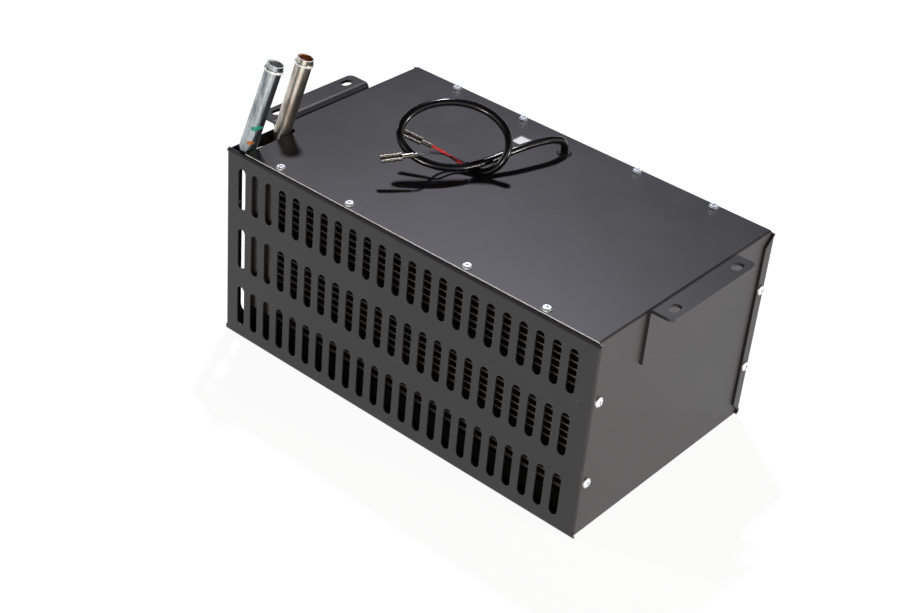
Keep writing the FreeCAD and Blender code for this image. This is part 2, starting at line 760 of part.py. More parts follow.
# Hose pipes: an elbow out of the left tank, then a leaning spigot with a bead below its rim
def pipe_path(y_out, y_tank, lean_back, rise, reach):
    lean = Vector(dim("pipe_lean_side").value, dim(lean_back).value, 1)
    through = Vector(pipe_x.value, dim(y_out).value - half_d.value, H.value)
    corner = through - lean * dim("elbow_drop").value
    tip = through + lean * dim(rise).value
    entry = Vector(left_tank_x.value, dim(y_tank).value - half_d.value, corner.z)
    inward = (entry - corner).normalize()
    outward = (tip - corner).normalize()
    turn = math.acos(max(-1, min(1, -inward.dot(outward))))
    radius = dim("elbow_radius").value
    tangent = radius * math.tan(turn / 2)
    start = corner + inward * tangent
    finish = corner + outward * tangent
    toward = (inward + outward).normalize()
    middle = corner + toward * (radius / math.cos(turn / 2) - radius)
    root = entry + inward * reach
    edges = [
        Part.LineSegment(root, start).toShape(),
        Part.Arc(start, middle, finish).toShape(),
        Part.LineSegment(finish, tip).toShape()]
    return Part.Wire(edges), root, tip, inward, outward


def sweep_round(path, start, direction, radius):
    ring = Part.Wire([Part.makeCircle(radius, start, direction)])
    return path.makePipeShell([ring], True, False)


def make_pipe(name, y_out, y_tank, lean_back, rise):
    path, root, tip, inward, outward = pipe_path(y_out, y_tank, lean_back, rise, dim("tank_wall").value)
    radius = dim("pipe_radius").value
    body = sweep_round(path, root, inward, radius)
    bead_low = tip - outward * (dim("bead_setback").value + dim("bead_width").value)
    bead = Part.makeCylinder(dim("bead_radius").value, dim("bead_width").value, bead_low, outward)
    rims = [e for e in bead.Edges if e.Closed and e.Curve.TypeId == "Part::GeomCircle"]
    bead = bead.makeFillet(dim("bead_width").value * 0.3, rims)
    bore = sweep_round(path, root, inward, radius - dim("pipe_wall").value)
    return shape_object(name, body.fuse(bead).cut(bore).removeSplitter())


def pipe_plug(y_out, y_tank, lean_back, rise):
    path, root, tip, inward, outward = pipe_path(y_out, y_tank, lean_back, rise, dim("tank_wall").value)
    return Part.makeCylinder(
        dim("pipe_radius").value + dim("tube_fit").value, dim("tank_edge").value * 4,
        root - inward * dim("tank_edge").value * 2, inward)


pipes = [
    ("inlet_y", "inlet_tank_y", "inlet_lean_back", "inlet_rise"),
    ("outlet_y", "outlet_tank_y", "outlet_lean_back", "outlet_rise")]
inlet_pipe = make_pipe("inlet_pipe", *pipes[0])
outlet_pipe = make_pipe("outlet_pipe", *pipes[1])
pipe_sockets = shape_object("pipe_sockets", Part.Compound([pipe_plug(*p) for p in pipes]))
left_tank = cut("left_tank", left_tank_body, pipe_sockets)

# Sheets that lead the air: the shelf under the core and the partition behind it
wall_x0 = left_tank_x
wall_x1 = panel_in - fit
partition_front = tank_back + dim("plenum_depth")
partition_back = partition_front + t
shelf_leg = front_in + dim("shelf_leg_setback")
core_shelf = fuse("core_shelf", [
    box("shelf_top_sheet", wall_x0, wall_x1, front_in + fit, partition_front, dim("shelf_top") - t,
        dim("shelf_top")),
    box("shelf_leg_sheet", wall_x0, wall_x1, shelf_leg, shelf_leg + t, t, dim("shelf_top") - t)])

# Scroll housing round each impeller, drawn from quarter arcs that step outwards
fan_y = dim("fan_y")
fan_z = dim("fan_z")
scroll_x0 = dim("scroll_start")
scroll_x1 = scroll_x0 + dim("scroll_width")
scroll_wall = dim("scroll_wall")
step = dim("scroll_step")
first_radius = dim("impeller_radius") + scroll_wall + dim("scroll_tongue") + step / 2
crest = step / 2 + first_radius + step * 2
outlet_top = fan_z + crest
outlet_low = outlet_top - dim("scroll_outlet")


def scroll_face(inset, x, mouth):
    s = step.value
    r = first_radius.value - inset
    centre = Vector(x, fan_y.value, fan_z.value)

    def at(u, v):
        return centre + Vector(0, u, v)

    left = at(s / 2 - r, -s / 2)
    bottom = at(s / 2, -s / 2 - r)
    right = at(s / 2 + r + s, s / 2)
    top = at(-s / 2, s / 2 + r + 2 * s)
    turn = math.sqrt(0.5)
    low = outlet_low.value + inset
    high = top.z
    arc_a = Part.Arc(left, at(s / 2 - r * turn, -s / 2 - r * turn), bottom)
    arc_b = Part.Arc(bottom, at(s / 2 + (r + s) * turn, s / 2 - (r + s) * turn), right)
    arc_c = Part.Arc(right, at(-s / 2 + (r + 2 * s) * turn, s / 2 + (r + 2 * s) * turn), top)
    mouth_high = Vector(x, mouth, high)
    mouth_low = Vector(x, mouth, low)
    tongue = Vector(x, left.y, low)
    edges = [arc_a.toShape(), arc_b.toShape(), arc_c.toShape()]
    for a, b in ((top, mouth_high), (mouth_high, mouth_low), (mouth_low, tongue), (tongue, left)):
        edges.append(Part.LineSegment(a, b).toShape())
    return Part.Face(Part.Wire(edges))


def make_scroll():
    mouth = partition_back.value
    wall = scroll_wall.value
    x0 = scroll_x0.value
    width = dim("scroll_width").value
    outer = scroll_face(0, x0, mouth).extrude(Vector(width, 0, 0))
    flange_out = dim("scroll_flange").value
    flange = Part.makeBox(
        width + 2 * flange_out, dim("scroll_flange_thick").value, dim("scroll_outlet").value + 2 * flange_out,
        Vector(x0 - flange_out, mouth, outlet_low.value - flange_out))
    inner = scroll_face(wall, x0 + wall, mouth - 1).extrude(Vector(width - 2 * wall, 0, 0))
    axis = Vector(1, 0, 0)
    inlet_start = Vector(x0 + width - 2 * wall, fan_y.value, fan_z.value)
    inlet = Part.makeCylinder(dim("scroll_inlet_radius").value, 4 * wall, inlet_start, axis)
    hole_start = Vector(x0 - 2 * wall, fan_y.value, fan_z.value)
    hole = Part.makeCylinder(dim("shaft_hole_radius").value, 4 * wall, hole_start, axis)
    return outer.fuse(flange).cut(inner).cut(inlet).cut(hole)


flange_mid = dim("scroll_flange") / 2
scroll_screw_spots = [
    (x * side, z) for side in (1, -1) for x in (scroll_x0 - flange_mid, scroll_x1 + flange_mid)
    for z in (outlet_low - flange_mid, outlet_top + flange_mid)]
scroll_screw_y = partition_back + dim("scroll_flange_thick")
scroll_screws = copies("scroll_screws", small_screw, [
    spot(x, scroll_screw_y, z, Vector(1, 0, 0), -90) for x, z in scroll_screw_spots])
scroll_holes = shape_object("scroll_holes", Part.Compound([
    Part.makeCylinder(
        dim("small_hole_radius").value, dim("plenum_depth").value,
        Vector(x.value, partition_back.value - dim("plenum_depth").value / 2, z.value), Vector(0, 1, 0))
    for x, z in scroll_screw_spots]))
scroll_shell = shape_object("scroll_shell", make_scroll())
right_scroll = cut("right_scroll", scroll_shell, scroll_holes)
left_scroll = mirror("left_scroll", right_scroll, Vector(1, 0, 0))

outlet_windows = [
    box("outlet_window", (scroll_x0 + scroll_wall) * side if side > 0 else (scroll_x1 - scroll_wall) * side,
        (scroll_x1 - scroll_wall) * side if side > 0 else (scroll_x0 + scroll_wall) * side,
        partition_front - 1, partition_back + 1, outlet_low + scroll_wall, outlet_top - scroll_wall)
    for side in (1, -1)]
partition_sheet = fuse("partition_sheet", [
    box("partition_plate", wall_x0, wall_x1, partition_front, partition_back, t, under - fit),
    box("partition_return", wall_x0, wall_x0 + t, tank_back, partition_front, dim("shelf_top"), tank_top)])
partition_windows = cut("partition_windows", partition_sheet, fuse("outlet_windows", outlet_windows))
air_partition = cut("air_partition", partition_windows, scroll_holes)

# Impellers: a back disc with a hub, a ring of leaning blades and a front ring
impeller_x0 = scroll_x0 + scroll_wall + dim("scroll_clear")
blade_x0 = impeller_x0 + dim("impeller_disc")
blade_x1 = blade_x0 + dim("impeller_width")
blade_count = int(2 * math.pi * dim("impeller_radius").value / dim("blade_pitch").value)


def make_impeller():
    axis = Vector(1, 0, 0)
    outer = dim("impeller_radius").value
    inner = dim("impeller_inner").value
    disc = dim("impeller_disc").value

    def turned(radius, x0, x1):
        return Part.makeCylinder(radius, x1 - x0, Vector(x0, 0, 0), axis)

    back = turned(outer, impeller_x0.value, blade_x0.value)
    hub_end = impeller_x0.value + dim("impeller_hub").value
    hub = turned(dim("impeller_hub_radius").value, impeller_x0.value, hub_end)
    ring = turned(outer, blade_x1.value, blade_x1.value + disc)
    ring = ring.cut(turned(inner, blade_x1.value - 1, blade_x1.value + disc + 1))
    blade = Part.makeBox(
        blade_x1.value - blade_x0.value + disc, dim("blade_thick").value, outer - inner - disc,
        Vector(blade_x0.value - disc / 2, 0, inner + disc / 2))
    blade.rotate(Vector(0, 0, (inner + outer) / 2), axis, 20)
    blades = []
    for i in range(blade_count):
        one = blade.copy()
        one.rotate(Vector(0, 0, 0), axis, 360 * i / blade_count)
        blades.append(one)
    wheel = back.multiFuse([hub, ring] + blades)
    bore_radius = dim("shaft_radius").value + dim("hub_gap").value
    bore = turned(bore_radius, impeller_x0.value - 1, hub_end + 1)
    wheel = wheel.cut(bore)
    wheel.translate(Vector(0, fan_y.value, fan_z.value))
    return wheel


right_impeller = shape_object("right_impeller", make_impeller())
left_impeller = mirror("left_impeller", right_impeller, Vector(1, 0, 0))


# Double-shaft motor between the scrolls, turned about the fan axis
def turned_rod(name, radius, x0, x1):
    return rod(name, radius, x0, x1, fan_y, fan_z)


def sleeve(name, outer, inner, x0, x1):
    return cut(name, turned_rod(name + "_outer", outer, x0, x1),
               turned_rod(name + "_bore", inner, as_size(x0) - 1, as_size(x1) + 1))


motor_radius = dim("motor_radius")
motor_half = dim("motor_half")
can_inner = motor_radius - dim("motor_wall")
cap_end = motor_half + dim("cap_thick")
boss_end = cap_end + dim("cap_boss")
bush_bore = dim("shaft_radius") + dim("bush_gap")
press_bore = dim("shaft_radius") + dim("hub_gap")
motor_can = sleeve("motor_can", motor_radius, can_inner, -motor_half, motor_half)


def make_cap(name, side):
    def span(a, b):
        return (a, b) if side > 0 else (-as_size(b), -as_size(a))

    solid = fuse(name + "_solid", [
        turned_rod(name + "_disc", motor_radius, *span(motor_half, cap_end)),
        turned_rod(name + "_boss", dim("cap_boss_radius"), *span(cap_end, boss_end))])
    seat_radius = dim("bush_radius") + dim("hub_gap")
    seat = turned_rod(name + "_seat", seat_radius, *span(motor_half - 1, boss_end + 1))
    return cut(name, solid, seat)


motor_right_cap = make_cap("motor_right_cap", 1)
motor_left_cap = make_cap("motor_left_cap", -1)
right_bearing = sleeve("right_bearing", dim("bush_radius"), bush_bore, motor_half, boss_end)
left_bearing = sleeve("left_bearing", dim("bush_radius"), bush_bore, -boss_end, -motor_half)
shaft_half = dim("shaft_length") / 2
motor_shaft = turned_rod("motor_shaft", dim("shaft_radius"), -shaft_half, shaft_half)
armature_half = dim("armature_half")
armature_solid = fuse("armature_solid", [
    turned_rod("armature_stack", dim("armature_radius"), -armature_half, armature_half),
    turned_rod("armature_winding", dim("winding_radius"), -armature_half - dim("winding_length"),
               armature_half + dim("winding_length"))])
armature = cut("armature", armature_solid, turned_rod("armature_bore", press_bore, -motor_half, motor_half))
plate_x1 = -motor_half + dim("brush_plate_thick")
commutator = sleeve(
    "commutator", dim("commutator_radius"), press_bore, plate_x1,
    plate_x1 + dim("commutator_length"))
brush_plate = sleeve(
    "brush_plate", can_inner - dim("cable_fit"), dim("brush_plate_bore"), -motor_half, plate_x1)
brush_start = dim("commutator_radius") + dim("brush_gap")
brush_z0 = fan_z - dim("brush_height") / 2
brush_z1 = fan_z + dim("brush_height") / 2
rear_brush = box(
    "rear_brush", plate_x1, plate_x1 + dim("brush_width"), fan_y + brush_start,
    fan_y + brush_start + dim("brush_length"), brush_z0, brush_z1)
front_brush = box(
    "front_brush", plate_x1, plate_x1 + dim("brush_width"), fan_y - brush_start - dim("brush_length"),
    fan_y - brush_start, brush_z0, brush_z1)
doc.recompute()
brushes = shape_object("brushes", Part.Compound([rear_brush.Shape.copy(), front_brush.Shape.copy()]))
magnet_ring = sleeve(
    "magnet_ring", can_inner - dim("cable_fit"), dim("magnet_inner"), -dim("magnet_half"), dim("magnet_half"))
field_magnets = cut("field_magnets", magnet_ring, box(
    "magnet_split_space", -motor_half, motor_half, fan_y - dim("magnet_split") / 2,
    fan_y + dim("magnet_split") / 2, fan_z - motor_radius, fan_z + motor_radius))

# Cradle on the bottom sheet, rubber rings and straps that hold the motor
ring_x0 = dim("ring_start")
ring_x1 = ring_x0 + dim("ring_width")
ring_outer = motor_radius + dim("ring_thick")
strap_inner = ring_outer + dim("cable_fit")
strap_outer = strap_inner + dim("strap_thick")
ear_end = strap_inner + dim("ear_length")
base_top = t + dim("cradle_base")
screw_inset = dim("small_head_radius") + dim("upright_thick")
rings = []
straps = []
cradle_parts = [box(
    "cradle_base_plate", -ring_x1 - dim("cradle_margin"), ring_x1 + dim("cradle_margin"),
    fan_y - ear_end - dim("cradle_margin"), fan_y + ear_end + dim("cradle_margin"), t, base_top)]
for side in (1, -1):
    def span(a, b, side=side):
        return (a, b) if side > 0 else (-as_size(b), -as_size(a))

    x0, x1 = span(ring_x0, ring_x1)
    rings.append(sleeve("rubber_ring", ring_outer, motor_radius + dim("cable_fit"), x0, x1))
    u0, u1 = span(ring_x0, ring_x0 + dim("upright_thick"))
    cradle_parts.append(box("upright", u0, u1, fan_y - ear_end, fan_y + ear_end, base_top, fan_z))
    cradle_parts.append(box(
        "upright_ledge", x0, x1, fan_y - ear_end, fan_y + ear_end, fan_z - dim("upright_thick"), fan_z))
    band = fuse("strap_band", [
        turned_rod("strap_round", strap_outer, x0, x1),
        box("strap_ears", x0, x1, fan_y - ear_end, fan_y + ear_end, fan_z, fan_z + dim("strap_thick"))])
    lower_half = box("strap_lower_half", x0, x1, fan_y - ear_end, fan_y + ear_end, fan_z - strap_outer, fan_z)
    hollow = turned_rod("strap_hollow", strap_inner, x0 - 1, x1 + 1)
    straps.append(cut("strap_half", band, fuse("strap_cutter", [lower_half, hollow])))
strap_screw_spots = [
    ((ring_x0 + ring_x1 + dim("upright_thick")) / 2 * side, fan_y + (strap_outer + ear_end) / 2 * end)
    for side in (1, -1) for end in (1, -1)]
strap_holes = shape_object("strap_holes", Part.Compound([
    Part.makeCylinder(
        dim("small_hole_radius").value, 6 * dim("strap_thick").value,
        Vector(x.value, y.value, fan_z.value - 3 * dim("strap_thick").value))
    for x, y in strap_screw_spots]))
cradle_bore = turned_rod("cradle_bore", strap_inner, -motor_half, motor_half)
cradle_saddle = cut("cradle_saddle", fuse("cradle_solid", cradle_parts), cradle_bore)
motor_cradle = cut("motor_cradle", cradle_saddle, strap_holes)
strap_pair = doc.addObject("Part::Compound", "strap_pair")
strap_pair.Links = straps
motor_straps = cut("motor_straps", strap_pair, strap_holes)
motor_rubber_rings = doc.addObject("Part::Compound", "motor_rubber_rings")
motor_rubber_rings.Links = rings
strap_screws = copies("strap_screws", small_screw, [
    spot(x, y, fan_z + dim("strap_thick")) for x, y in strap_screw_spots])

# Cable grommet in the top sheet
cable_grommet = new_body("cable_grommet")
grommet_bore = dim("cable_radius") + dim("cable_fit")
grommet_lip = dim("grommet_lip")
grommet_profile = polygon(cable_grommet, "grommet_profile", "XZ_Plane", [
    (grommet_bore, -t - grommet_lip), (dim("grommet_flange"), -t - grommet_lip), (dim("grommet_flange"), -t),
    (dim("grommet_neck"), -t), (dim("grommet_neck"), 0), (dim("grommet_flange"), 0),
    (dim("grommet_flange"), grommet_lip * 0.5), (dim("grommet_neck"), grommet_lip),
    (grommet_bore, grommet_lip)])
revolve(cable_grommet, "grommet_turned", grommet_profile)
bind_base(cable_grommet, dim("cable_x"), cable_y, H)


# Round cords: straight runs joined by tangent arcs
def cord_path(points):
    edges = []
    start = points[0]
    least = None
    for i in range(1, len(points) - 1):
        before = points[i - 1] - points[i]
        after = points[i + 1] - points[i]
        run = min(before.Length, after.Length)
        before.normalize()
        after.normalize()
        turn = math.acos(max(-1, min(1, -before.dot(after))))
        tangent = 0.45 * run
        radius = tangent / math.tan(turn / 2)
        least = radius if least is None else min(least, radius)
        begin = points[i] + before * tangent
        end = points[i] + after * tangent
        toward = (before + after).normalize()
        middle = points[i] + toward * (radius / math.cos(turn / 2) - radius)
        edges.append(Part.LineSegment(start, begin).toShape())
        edges.append(Part.Arc(begin, middle, end).toShape())
        start = end
    edges.append(Part.LineSegment(start, points[-1]).toShape())
    return Part.Wire(edges), least


def self_gap(path, radius, apart):
    count = max(60, int(path.Length / 2))
    points = path.discretize(count)
    spacing = path.Length / (count - 1)
    skip = int(apart / spacing)
    gaps = [
        points[i].distanceToPoint(points[j])
        for i in range(count) for j in range(i + skip, count)]
    return min(gaps) - 2 * radius if gaps else None


def make_cord(name, points, radius):
    path, least = cord_path(points)
    solid = sweep_round(path, points[0], points[1] - points[0], radius)
    ideal = math.pi * radius * radius * path.Length
    gap = self_gap(path, radius, 12 * radius)
    print("%s: length %.1f, least bend radius %.1f, volume %.4f of section times length, self gap %s" % (
        name, path.Length, least, solid.Volume / ideal, gap))
    return shape_object(name, solid)


exit_point = Vector(dim("cable_x").value, cable_y.value, H.value)
cable_radius = dim("cable_radius").value
wire_radius = dim("wire_radius").value
lip_top = Vector(0, 0, grommet_lip.value)

# Supply cable, as steps from its exit: up and forwards, one upright loop, and an end tucked under itself
supply_steps = [
    (0, 0, 12.5), (-3.1, -16, 19), (-8.1, -32.5, 19.5), (-13, -51.5, 18.5), (-18.4, -67.3, 15.5),
    (-22.9, -81.2, 13), (-27.4, -96.6, 11.5), (-33.7, -113.9, 12), (-45.3, -130.6, 15.5), (-62, -141.7, 22),
    (-74.4, -144.8, 32), (-81.2, -140.2, 42.5), (-81.4, -129.1, 52), (-74.1, -113.5, 59.5),
    (-61.5, -95.9, 62), (-46.7, -80, 58.5), (-31.1, -70.4, 51), (-16.1, -68.9, 41), (-8.1, -73.9, 31),
    (-7.4, -80.5, 20), (-13.1, -86.1, 9.5), (-21.6, -92, 4.2), (-32, -93, 3.8), (-39.5, -95.5, 6.4)]
supply_points = [exit_point + lip_top] + [exit_point + Vector(*s) for s in supply_steps]
supply_cable = make_cord("supply_cable", supply_points, cable_radius)

sheath_end = supply_points[-1]
sheath_way = (supply_points[-1] - supply_points[-2]).normalize()
sheath_side = sheath_way.cross(Vector(0, 0, 1)).normalize() * dim("wire_spread").value
first_run = sheath_way * dim("wire_first_run").value
red_steps = [(-47.9, -101.9, 11.7), (-51.5, -108, 16.9), (-53.9, -114.9, 22.7), (-61.2, -117.7, 24.5)]
black_steps = [
    (-50.7, -99.7, 10.8), (-56.2, -104.8, 14.4), (-58.3, -113.6, 17.6), (-57, -126.3, 22.9),
    (-52.1, -137.7, 28.2), (-58.4, -146, 27.1)]
red_start = sheath_end - sheath_side
black_start = sheath_end + sheath_side
red_points = [red_start, red_start + first_run] + [exit_point + Vector(*s) for s in red_steps]
black_points = [black_start, black_start + first_run] + [exit_point + Vector(*s) for s in black_steps]
red_wire = make_cord("red_wire", red_points, wire_radius)
black_wire = make_cord("black_wire", black_points, wire_radius)


# Crimped receptacle on the end of a wire: a barrel, then a flat tongue with both edges rolled up
def make_terminal(name, points):
    way = (points[-1] - points[-2]).normalize()
    facing = Vector(0.3, -0.4, 0.85)
    barrel_length = dim("terminal_barrel").value
    barrel = Part.makeCylinder(dim("terminal_barrel_radius").value, barrel_length)
    width = dim("terminal_blade_width").value
    thick = dim("terminal_blade_thick").value
    length = dim("terminal_blade").value
    lap = dim("terminal_lap").value
    tongue = Part.makeBox(
        width / 2, thick, length + lap, Vector(-width / 4, -thick, barrel_length - lap))
    floor = Part.makeBox(width, thick, length, Vector(-width / 2, -thick, barrel_length))
    roll = dim("terminal_roll_radius").value
    rolls = [
        Part.makeCylinder(roll, length, Vector(side * (width / 2 - roll), roll - thick, barrel_length))
        for side in (1, -1)]
    made = shape_object(name, barrel.multiFuse([tongue, floor] + rolls).removeSplitter())
    made.Placement = FreeCAD.Placement(points[-1], FreeCAD.Rotation(Vector(), facing, way, "ZYX"))
    return made


red_terminal = make_terminal("red_terminal", red_points)
black_terminal = make_terminal("black_terminal", black_points)

# Inner cable from the grommet down to the motor can
landing_way = Vector(0, math.sqrt(0.5), math.sqrt(0.5))
motor_centre = Vector(dim("cable_x").value, fan_y.value, fan_z.value)
landing = motor_centre + landing_way * (motor_radius.value + dim("landing_gap").value)
inner_points = [
    exit_point + lip_top,
    exit_point - Vector(0, 0, dim("inner_drop").value),
    landing + landing_way * dim("inner_reach").value,
    landing]
inner_cable = make_cord("inner_cable", inner_points, cable_radius)

nodes = {
    "lower_case": lower_case, "upper_case": upper_case, "left_bracket": left_bracket,
    "right_bracket": right_bracket, "top_screws": top_screws, "end_screws": end_screws,
    "left_tank": left_tank, "right_tank": right_tank, "left_tube_plate": left_tube_plate,
    "right_tube_plate": right_tube_plate, "core_tubes": core_tubes, "core_fins": core_fins,
    "bottom_side_plate": bottom_side_plate, "top_side_plate": top_side_plate,
    "core_bottom_seal": core_bottom_seal, "core_top_seal": core_top_seal, "inlet_pipe": inlet_pipe,
    "outlet_pipe": outlet_pipe, "core_shelf": core_shelf, "air_partition": air_partition,
    "left_scroll": left_scroll, "right_scroll": right_scroll, "scroll_screws": scroll_screws,
    "left_impeller": left_impeller, "right_impeller": right_impeller, "motor_can": motor_can,
    "motor_left_cap": motor_left_cap, "motor_right_cap": motor_right_cap, "left_bearing": left_bearing,
    "right_bearing": right_bearing, "motor_shaft": motor_shaft, "armature": armature,
    "commutator": commutator, "brush_plate": brush_plate, "brushes": brushes,
    "field_magnets": field_magnets, "motor_cradle": motor_cradle, "motor_straps": motor_straps,
    "motor_rubber_rings": motor_rubber_rings, "strap_screws": strap_screws,
    "cable_grommet": cable_grommet, "inner_cable": inner_cable, "supply_cable": supply_cable,
    "red_wire": red_wire, "black_wire": black_wire, "red_terminal": red_terminal,
    "black_terminal": black_terminal}

doc.recompute()
for obj in doc.Objects:
    if "Invalid" in obj.State or "Error" in obj.State:
        raise RuntimeError("%s is in state %s" % (obj.Label, obj.State))
os.makedirs("parts", exist_ok=True)
for name, obj in nodes.items():
    obj.Label = name
    shape = obj.Shape
    if shape.isNull() or not shape.isValid():
        raise RuntimeError("%s has no valid shape" % name)
    solids = len(shape.Solids)
    print("%s: %d solids, %.0f cubic mm" % (name, solids, shape.Volume))
    shape.exportStep("parts/%s.step" % name)
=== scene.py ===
import math
import bpy
from mathutils import Matrix, Vector


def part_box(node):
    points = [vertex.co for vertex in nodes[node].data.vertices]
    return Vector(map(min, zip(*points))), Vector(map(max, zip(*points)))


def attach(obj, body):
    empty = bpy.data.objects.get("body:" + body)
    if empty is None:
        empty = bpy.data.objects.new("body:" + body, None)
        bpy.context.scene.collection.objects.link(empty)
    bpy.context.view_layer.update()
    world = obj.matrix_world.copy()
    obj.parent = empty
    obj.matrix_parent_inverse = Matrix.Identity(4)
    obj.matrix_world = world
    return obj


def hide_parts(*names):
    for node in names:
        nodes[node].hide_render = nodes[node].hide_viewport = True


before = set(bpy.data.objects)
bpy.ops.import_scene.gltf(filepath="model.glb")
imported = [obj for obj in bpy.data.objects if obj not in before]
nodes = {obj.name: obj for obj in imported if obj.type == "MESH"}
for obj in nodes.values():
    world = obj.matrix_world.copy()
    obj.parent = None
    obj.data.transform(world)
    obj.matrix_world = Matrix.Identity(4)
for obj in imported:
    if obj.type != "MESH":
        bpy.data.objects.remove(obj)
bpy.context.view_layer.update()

scene = bpy.context.scene
scene.view_settings.view_transform = "Standard"
caseLow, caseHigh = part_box("upper_case")
topFace = caseHigh[2]
print("frame loaded,", len(nodes), "nodes")


def linear(hexText):  # sRGB hex to the linear colour that a shader takes
    channels = [int(hexText[i:i + 2], 16) / 255 for i in (1, 3, 5)]
    return tuple(c / 12.92 if c <= 0.04045 else ((c + 0.055) / 1.055) ** 2.4 for c in channels) + (1.0,)


def addNode(tree, kind, values=None, links=None, stops=(), **settings):  # one node, set up and linked
    node = tree.nodes.new(kind)
    for key, value in settings.items():
        setattr(node, key, value)
    for key, value in (values or {}).items():
        node.inputs[key].default_value = value
    for key, output in (links or {}).items():
        tree.links.new(output, node.inputs[key])
    if stops:  # a colour ramp's two stops as (position, hex)
        for element, (position, colour) in zip(node.color_ramp.elements, stops):
            element.position = position
            element.color = linear(colour)
    return node


def newMaterial(name):  # an empty material with its shader and the piece's own coordinates in metres
    material = bpy.data.materials.new(name)
    material.use_nodes = True
    tree = material.node_tree
    tree.nodes.clear()
    shader = addNode(tree, "ShaderNodeBsdfPrincipled")
    addNode(tree, "ShaderNodeOutputMaterial", links={"Surface": shader.outputs["BSDF"]})
    place = addNode(tree, "ShaderNodeTexCoord").outputs["Object"]
    return material, tree, shader, place


def feedShader(tree, shader, colour, rough, bump):  # links what varies over the surface
    tree.links.new(colour.outputs["Color"], shader.inputs["Base Color"])
    tree.links.new(rough.outputs["Result"], shader.inputs["Roughness"])
    tree.links.new(bump.outputs["Normal"], shader.inputs["Normal"])


# Pattern scales: a noise feature about one millimetre wide has a scale near 1000
perMillimetre = 1000.0


# Polyester powder coat, sprayed and baked: satin black with a fine orange peel that breaks up the gloss
def powderCoat(name, dark, light, gloss, shine, edge=None):
    material, tree, shader, place = newMaterial(name)
    clouds = addNode(tree, "ShaderNodeTexNoise",
                     {"Scale": perMillimetre / 55, "Detail": 3.0, "Roughness": 0.6}, {"Vector": place})
    peel = addNode(tree, "ShaderNodeTexNoise",
                   {"Scale": perMillimetre / 1.1, "Detail": 2.0, "Roughness": 0.5}, {"Vector": place})
    shade = addNode(tree, "ShaderNodeValToRGB", links={"Fac": clouds.outputs["Fac"]},
                    stops=[(0.35, dark), (0.68, light)])
    specks = addNode(tree, "ShaderNodeTexVoronoi", {"Scale": perMillimetre / 14}, {"Vector": place})
    dust = addNode(tree, "ShaderNodeMapRange", {"From Min": 0.05, "From Max": 0.03, "To Max": 0.6},
                   {"Value": specks.outputs["Distance"]})
    coat = addNode(tree, "ShaderNodeMixRGB", {"Color2": linear("#77777b")},
                   {"Fac": dust.outputs["Result"], "Color1": shade.outputs["Color"]})
    if edge:  # upper corner of the sheet's cut front edge, painted near white as a highlight
        split = addNode(tree, "ShaderNodeSeparateXYZ", links={"Vector": place})
        front = addNode(tree, "ShaderNodeMath", {1: edge["y"]}, {0: split.outputs["Y"]},
                        operation="LESS_THAN")
        high = addNode(tree, "ShaderNodeMath", {1: edge["z"]}, {0: split.outputs["Z"]},
                       operation="GREATER_THAN")
        both = addNode(tree, "ShaderNodeMath", links={0: front.outputs["Value"], 1: high.outputs["Value"]},
                       operation="MULTIPLY")
        coat = addNode(tree, "ShaderNodeMixRGB", {"Color2": linear("#e8e9ec")},
                       {"Fac": both.outputs["Value"], "Color1": coat.outputs["Color"]})
    rough = addNode(tree, "ShaderNodeMapRange",
                    {"From Min": 0.3, "From Max": 0.7, "To Min": gloss - 0.02, "To Max": gloss + 0.02},
                    {"Value": clouds.outputs["Fac"]})
    bump = addNode(tree, "ShaderNodeBump", {"Strength": 0.16, "Distance": 0.00012},
                   {"Height": peel.outputs["Fac"]})
    feedShader(tree, shader, coat, rough, bump)
    shader.inputs["Specular IOR Level"].default_value = shine
    return material


# Bare or plated metal, rolled, pressed, turned or ground: mirrors in its own tint, dulled by handling marks
def bareMetal(name, colour, worn, gloss, feature):
    material, tree, shader, place = newMaterial(name)
    marks = addNode(tree, "ShaderNodeTexNoise",
                    {"Scale": perMillimetre / feature, "Detail": 4.0, "Roughness": 0.65}, {"Vector": place})
    tint = addNode(tree, "ShaderNodeValToRGB", links={"Fac": marks.outputs["Fac"]},
                   stops=[(0.32, worn), (0.62, colour)])
    rough = addNode(tree, "ShaderNodeMapRange",
                    {"From Min": 0.3, "From Max": 0.7, "To Min": gloss + 0.14, "To Max": gloss},
                    {"Value": marks.outputs["Fac"]})
    bump = addNode(tree, "ShaderNodeBump", {"Strength": 0.1, "Distance": 0.0001},
                   {"Height": marks.outputs["Fac"]})
    feedShader(tree, shader, tint, rough, bump)
    shader.inputs["Metallic"].default_value = 1.0
    return material


# Moulded or extruded polymer: even colour, faint mottle, soft highlights
def moulded(name, colour, mottle, gloss, feature, relief, shine=0.5):
    material, tree, shader, place = newMaterial(name)
    spots = addNode(tree, "ShaderNodeTexNoise",
                    {"Scale": perMillimetre / feature, "Detail": 3.0, "Roughness": 0.6}, {"Vector": place})
    tint = addNode(tree, "ShaderNodeValToRGB", links={"Fac": spots.outputs["Fac"]},
                   stops=[(0.35, mottle), (0.65, colour)])
    rough = addNode(tree, "ShaderNodeMapRange",
                    {"From Min": 0.3, "From Max": 0.7, "To Min": gloss + 0.08, "To Max": gloss - 0.04},
                    {"Value": spots.outputs["Fac"]})
    bump = addNode(tree, "ShaderNodeBump", {"Strength": relief, "Distance": 0.00015},
                   {"Height": spots.outputs["Fac"]})
    feedShader(tree, shader, tint, rough, bump)
    shader.inputs["Specular IOR Level"].default_value = shine
    return material


def dress(material, *names):  # gives CAD nodes their finish
    for name in names:
        slots = nodes[name].data.materials
        slots.clear()
        slots.append(material)


